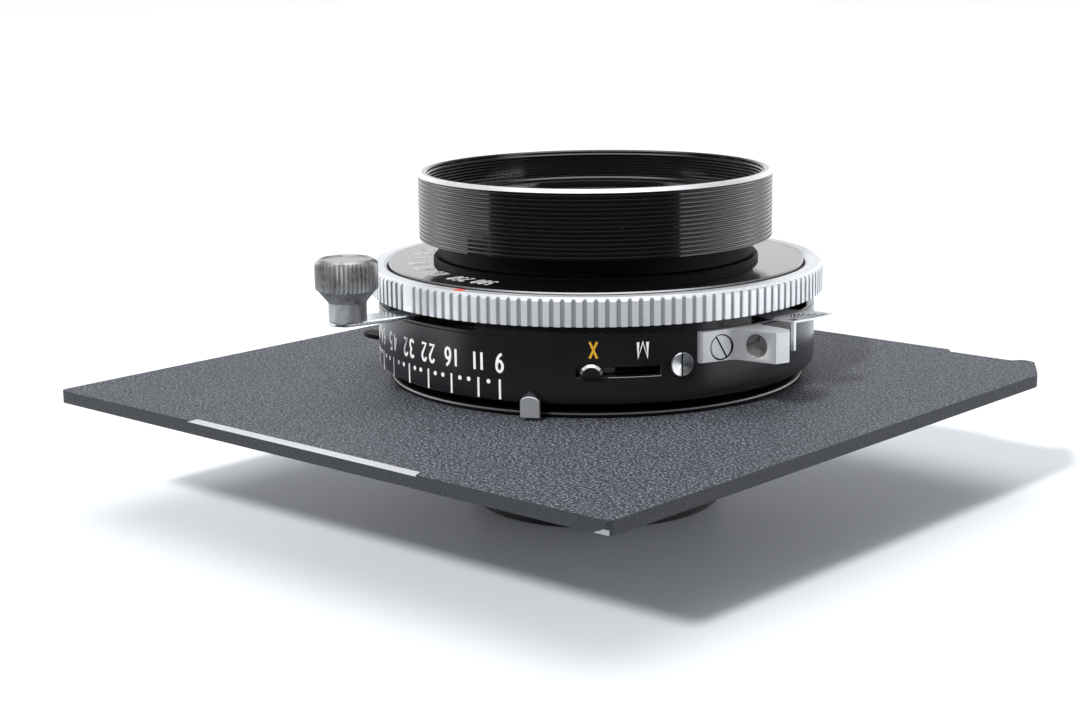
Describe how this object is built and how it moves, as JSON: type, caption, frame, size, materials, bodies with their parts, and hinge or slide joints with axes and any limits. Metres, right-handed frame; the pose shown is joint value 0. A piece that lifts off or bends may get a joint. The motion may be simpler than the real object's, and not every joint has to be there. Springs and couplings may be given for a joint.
{
  "type": "view camera lens",
  "caption": "Large-format lens in a leaf shutter on a square lens board, with turning speed ring, aperture pointer, cocking lever and release.",
  "frame": {"origin": "centre of the lens board in X and Y, on the plane the rear barrel stands on", "axes": "+Z along the lens axis towards the subject, +Y towards the board's notched edge, +X towards the cable-release side; the lens axis is at y = +7 mm"},
  "size_m": [0.114, 0.114, 0.0539],
  "materials": {
    "board_paint": "fine wrinkle black paint",
    "black_paint": "semi-gloss black lacquer",
    "gloss_black": "gloss black anodised and lacquered",
    "chrome": "bead-blasted chrome",
    "satin_steel": "satin nickel plate",
    "brass": "machined",
    "dark_steel": "blued spring steel",
    "insulator": "moulded",
    "optical_glass": "coated and polished"
  },
  "bodies": {
    "lens_unit": {"lens_board": "board_paint", "retaining_ring": "dark_steel", "shutter_flange": "satin_steel", "lower_casing": "black_paint", "upper_casing": "black_paint", "casing_cover": "satin_steel", "blade_plate": "satin_steel", "mechanism_plate": "brass", "mechanism_bridge": "brass", "shutter_tube": "satin_steel", "dial_plate": "gloss_black", "dial_retaining_ring": "gloss_black", "mainspring": "dark_steel", "cable_release_socket": "satin_steel", "socket_screw": "satin_steel", "side_screw": "satin_steel", "pc_terminal": "satin_steel", "pc_insulator": "insulator", "pc_pin": "brass", "side_tab": "black_paint", "front_barrel": "gloss_black", "filter_ring": "gloss_black", "front_bezel": "gloss_black", "front_glass_outer": "optical_glass", "front_spacer": "dark_steel", "front_glass_inner": "optical_glass", "rear_barrel": "gloss_black", "rear_glass_inner": "optical_glass", "rear_spacer": "dark_steel", "rear_glass_outer": "optical_glass", "rear_retainer": "gloss_black"},
    "speed_control": {"speed_ring": "chrome", "speed_cam_plate": "satin_steel"},
    "aperture_control": {"aperture_ring": "brass", "aperture_pointer": "satin_steel"},
    "shutter_drive": {"shutter_drive_ring": "brass"},
    "cocking": {"cocking_lever": "satin_steel", "cocking_post": "satin_steel", "cocking_knob": "satin_steel"},
    "release": {"release_lever": "satin_steel"},
    "sync": {"sync_selector": "satin_steel"},
    "sector": {"retard_sector": "brass"},
    "pinion": {"retard_pinion": "brass"},
    "pallet": {"retard_pallet": "dark_steel"},
    "iris_1": {"aperture_blade_1": "dark_steel"},
    "iris_2": {"aperture_blade_2": "dark_steel"},
    "iris_3": {"aperture_blade_3": "dark_steel"},
    "iris_4": {"aperture_blade_4": "dark_steel"},
    "iris_5": {"aperture_blade_5": "dark_steel"},
    "iris_6": {"aperture_blade_6": "dark_steel"},
    "iris_7": {"aperture_blade_7": "dark_steel"},
    "leaf_1": {"shutter_blade_1": "dark_steel"},
    "leaf_2": {"shutter_blade_2": "dark_steel"},
    "leaf_3": {"shutter_blade_3": "dark_steel"},
    "leaf_4": {"shutter_blade_4": "dark_steel"},
    "leaf_5": {"shutter_blade_5": "dark_steel"}
  },
  "joints": [
    {"name": "speed_ring_turn", "type": "hinge", "parent": "lens_unit", "child": "speed_control", "pos_m": [0, 0.007, 0.0368], "axis": [0, 0, 1], "range_deg": [-121, 0]},
    {"name": "aperture_turn", "type": "hinge", "parent": "lens_unit", "child": "aperture_control", "pos_m": [0, 0.007, 0.0224], "axis": [0, 0, 1], "range_deg": [-63.3, 0]},
    {"name": "shutter_drive_turn", "type": "hinge", "parent": "lens_unit", "child": "shutter_drive", "pos_m": [0, 0.007, 0.0276], "axis": [0, 0, 1], "range_deg": [0, 25]},
    {"name": "cocking_turn", "type": "hinge", "parent": "lens_unit", "child": "cocking", "pos_m": [0, 0.007, 0.0341], "axis": [0, 0, 1], "range_deg": [-38, 19.5]},
    {"name": "release_turn", "type": "hinge", "parent": "lens_unit", "child": "release", "pos_m": [0.0306, 0.0102, 0.0338], "axis": [0, 0, 1], "range_deg": [0, 12], "stiffness_Nm_per_rad": 0.02, "springref_deg": -5.73},
    {"name": "sync_slide", "type": "hinge", "parent": "lens_unit", "child": "sync", "pos_m": [0, 0.007, 0.0281], "axis": [0, 0, 1], "range_deg": [0, 12.3]},
    {"name": "iris_1_swing", "type": "hinge", "parent": "lens_unit", "child": "iris_1", "pos_m": [0.027, 0.007, 0.0238], "axis": [0, 0, 1], "range_deg": [0, 29]},
    {"name": "iris_2_swing", "type": "hinge", "parent": "lens_unit", "child": "iris_2", "pos_m": [0.01683, 0.02811, 0.0238], "axis": [0, 0, 1], "range_deg": [0, 29]},
    {"name": "iris_3_swing", "type": "hinge", "parent": "lens_unit", "child": "iris_3", "pos_m": [-0.00601, 0.03332, 0.0238], "axis": [0, 0, 1], "range_deg": [0, 29]},
    {"name": "iris_4_swing", "type": "hinge", "parent": "lens_unit", "child": "iris_4", "pos_m": [-0.02433, 0.01871, 0.0238], "axis": [0, 0, 1], "range_deg": [0, 29]},
    {"name": "iris_5_swing", "type": "hinge", "parent": "lens_unit", "child": "iris_5", "pos_m": [-0.02433, -0.00471, 0.0238], "axis": [0, 0, 1], "range_deg": [0, 29]},
    {"name": "iris_6_swing", "type": "hinge", "parent": "lens_unit", "child": "iris_6", "pos_m": [-0.00601, -0.01932, 0.0238], "axis": [0, 0, 1], "range_deg": [0, 29]},
    {"name": "iris_7_swing", "type": "hinge", "parent": "lens_unit", "child": "iris_7", "pos_m": [0.01683, -0.01411, 0.0238], "axis": [0, 0, 1], "range_deg": [0, 29]},
    {"name": "leaf_1_swing", "type": "hinge", "parent": "lens_unit", "child": "leaf_1", "pos_m": [0.027, 0.007, 0.0263], "axis": [0, 0, 1], "range_deg": [-35, 0]},
    {"name": "leaf_2_swing", "type": "hinge", "parent": "lens_unit", "child": "leaf_2", "pos_m": [0.00834, 0.03268, 0.0263], "axis": [0, 0, 1], "range_deg": [-35, 0]},
    {"name": "leaf_3_swing", "type": "hinge", "parent": "lens_unit", "child": "leaf_3", "pos_m": [-0.02184, 0.02287, 0.0263], "axis": [0, 0, 1], "range_deg": [-35, 0]},
    {"name": "leaf_4_swing", "type": "hinge", "parent": "lens_unit", "child": "leaf_4", "pos_m": [-0.02184, -0.00887, 0.0263], "axis": [0, 0, 1], "range_deg": [-35, 0]},
    {"name": "leaf_5_swing", "type": "hinge", "parent": "lens_unit", "child": "leaf_5", "pos_m": [0.00834, -0.01868, 0.0263], "axis": [0, 0, 1], "range_deg": [-35, 0]},
    {"name": "sector_turn", "type": "hinge", "parent": "lens_unit", "child": "sector", "pos_m": [0.01457, 0.03032, 0.0301], "axis": [0, 0, 1], "range_deg": [-15, 15]},
    {"name": "pinion_turn", "type": "hinge", "parent": "lens_unit", "child": "pinion", "pos_m": [0.00675, 0.03366, 0.0303], "axis": [0, 0, 1], "range_deg": [-36, 36]},
    {"name": "pallet_rock", "type": "hinge", "parent": "lens_unit", "child": "pallet", "pos_m": [0.00121, 0.03447, 0.0312], "axis": [0, 0, 1], "range_deg": [-4, 4]}
  ],
  "couplings": [
    {"joint": "iris_1_swing", "follows": "aperture_turn", "ratio": -0.45814},
    {"joint": "iris_2_swing", "follows": "aperture_turn", "ratio": -0.45814},
    {"joint": "iris_3_swing", "follows": "aperture_turn", "ratio": -0.45814},
    {"joint": "iris_4_swing", "follows": "aperture_turn", "ratio": -0.45814},
    {"joint": "iris_5_swing", "follows": "aperture_turn", "ratio": -0.45814},
    {"joint": "iris_6_swing", "follows": "aperture_turn", "ratio": -0.45814},
    {"joint": "iris_7_swing", "follows": "aperture_turn", "ratio": -0.45814},
    {"joint": "leaf_1_swing", "follows": "shutter_drive_turn", "ratio": -1.4},
    {"joint": "leaf_2_swing", "follows": "shutter_drive_turn", "ratio": -1.4},
    {"joint": "leaf_3_swing", "follows": "shutter_drive_turn", "ratio": -1.4},
    {"joint": "leaf_4_swing", "follows": "shutter_drive_turn", "ratio": -1.4},
    {"joint": "leaf_5_swing", "follows": "shutter_drive_turn", "ratio": -1.4},
    {"joint": "pinion_turn", "follows": "sector_turn", "ratio": -2.4}
  ]
}
